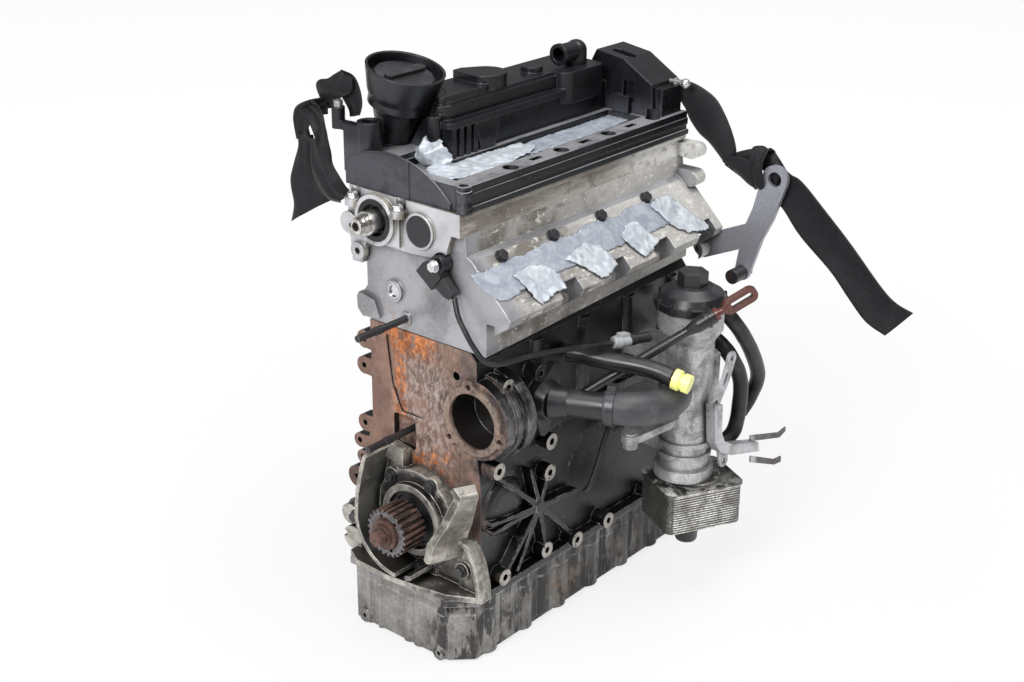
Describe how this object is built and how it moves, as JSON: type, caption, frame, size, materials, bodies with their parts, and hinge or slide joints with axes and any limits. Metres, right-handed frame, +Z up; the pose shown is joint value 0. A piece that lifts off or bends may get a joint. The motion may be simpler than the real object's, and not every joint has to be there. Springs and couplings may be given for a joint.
{
  "type": "car engine",
  "caption": "In-line diesel car engine with toothed crank nose, twin camshafts under a black cover, oil filter and plate cooler on its intake side.",
  "frame": {"origin": "centre of the rear face of the crankshaft flywheel flange", "axes": "+X along the crankshaft towards the gearbox end, +Z up along the cylinders, +Y towards the exhaust side, so the filter and cooler are on the -Y side"},
  "size_m": [0.546, 0.6331, 0.6739],
  "materials": {
    "cast_block": "rusty rough casting",
    "forged_steel": "machined steel",
    "rusty_steel": "rust-stained steel",
    "head_alloy": "cast aluminium",
    "carrier_alloy": "oil-stained cast aluminium",
    "sump_alloy": "dirty cast aluminium",
    "flange_alloy": "dirty cast aluminium",
    "filter_alloy": "cast aluminium",
    "piston_alloy": "machined aluminium",
    "cooler_alloy": "brazed plates",
    "bright_steel": "bright steel",
    "dark_steel": "black-coated steel",
    "bracket_steel": "pale grey coating",
    "eye_steel": "grey steel plate",
    "gasket_grey": "dull",
    "cover_plastic": "satin black",
    "black_plastic": "satin black",
    "grey_plastic": "satin grey",
    "yellow_plastic": "lime yellow",
    "red_plastic": "dark red-brown",
    "black_rubber": "satin rubber",
    "tape_silver": "silver cloth tape",
    "strap_black": "woven webbing"
  },
  "bodies": {
    "engine": {"engine_block": "cast_block", "bearing_caps": "cast_block", "front_seal_flange": "flange_alloy", "front_crank_seal": "black_rubber", "rear_seal_flange": "flange_alloy", "flange_bolts": "dark_steel", "sump": "sump_alloy", "drain_plug": "dark_steel", "head_gasket": "gasket_grey", "cylinder_head": "head_alloy", "core_plug": "bright_steel", "cam_carrier": "carrier_alloy", "carrier_bolts": "bright_steel", "cam_seal": "black_rubber", "cam_end_plug": "black_plastic", "valve_cover": "cover_plastic", "belt_guard": "cover_plastic", "cover_bolts": "dark_steel", "ball_stud": "bright_steel", "filler_neck": "cover_plastic", "vent_elbow": "cover_plastic", "intake_bolts": "dark_steel", "upper_stud": "dark_steel", "lower_stud": "dark_steel", "cam_sensor": "black_plastic", "sensor_bolt": "bright_steel", "sensor_cable": "black_rubber", "cable_connector": "grey_plastic", "coolant_outlet": "black_plastic", "coolant_hose": "black_rubber", "hose_clamp": "dark_steel", "blanking_plug": "yellow_plastic", "water_pipe": "black_plastic", "oil_filter_housing": "filter_alloy", "oil_cooler": "cooler_alloy", "cooler_bolt": "black_plastic", "dipstick_tube": "black_plastic", "breather_hose_outer": "black_rubber", "breather_hose_inner": "black_rubber", "pipe_bracket": "bracket_steel", "lifting_eye": "eye_steel", "eye_bolts": "dark_steel", "port_tape": "tape_silver", "cover_tape": "tape_silver", "strap_right": "strap_black", "strap_left": "strap_black"},
    "crank": {"crankshaft": "forged_steel", "crank_sprocket": "rusty_steel", "crank_bolt": "rusty_steel"},
    "exhaust_cam": {"exhaust_camshaft": "forged_steel", "exhaust_cam_gear": "forged_steel"},
    "intake_cam": {"intake_camshaft": "forged_steel", "intake_cam_gear": "forged_steel"},
    "filler_cap": {"oil_filler_cap": "black_plastic"},
    "filter_cap": {"oil_filter_cap": "black_plastic"},
    "dipstick": {"dipstick": "red_plastic"},
    "piston_1": {"piston_1": "piston_alloy"},
    "piston_2": {"piston_2": "piston_alloy"},
    "piston_3": {"piston_3": "piston_alloy"},
    "piston_4": {"piston_4": "piston_alloy"}
  },
  "joints": [
    {"name": "crank_spin", "type": "hinge", "parent": "engine", "child": "crank", "pos_m": [-0.208, 0, 0], "axis": [1, 0, 0], "continuous": true},
    {"name": "exhaust_cam_spin", "type": "hinge", "parent": "engine", "child": "exhaust_cam", "pos_m": [-0.208, 0.056, 0.3475], "axis": [1, 0, 0], "continuous": true},
    {"name": "intake_cam_spin", "type": "hinge", "parent": "engine", "child": "intake_cam", "pos_m": [-0.208, -0.006, 0.3475], "axis": [1, 0, 0], "continuous": true},
    {"name": "filler_cap_turn", "type": "hinge", "parent": "engine", "child": "filler_cap", "pos_m": [-0.348, 0.076, 0.499], "axis": [0, -0.2419, 0.9703], "range_deg": [0, 90]},
    {"name": "filter_cap_turn", "type": "hinge", "parent": "engine", "child": "filter_cap", "pos_m": [-0.12, -0.162, 0.213], "axis": [0, 0, 1], "range_deg": [0, 360]},
    {"name": "dipstick_pull", "type": "slide", "parent": "engine", "child": "dipstick", "axis": [0.5997, -0.5997, 0.5299], "range_m": [0, 0.06]},
    {"name": "piston_1_stroke", "type": "slide", "parent": "engine", "child": "piston_1", "axis": [0, 0, 1], "range_m": [0, 0.0955]},
    {"name": "piston_2_stroke", "type": "slide", "parent": "engine", "child": "piston_2", "axis": [0, 0, 1], "range_m": [0, 0.0955]},
    {"name": "piston_3_stroke", "type": "slide", "parent": "engine", "child": "piston_3", "axis": [0, 0, 1], "range_m": [0, 0.0955]},
    {"name": "piston_4_stroke", "type": "slide", "parent": "engine", "child": "piston_4", "axis": [0, 0, 1], "range_m": [0, 0.0955]}
  ],
  "couplings": [
    {"joint": "intake_cam_spin", "follows": "exhaust_cam_spin", "ratio": -1}
  ]
}
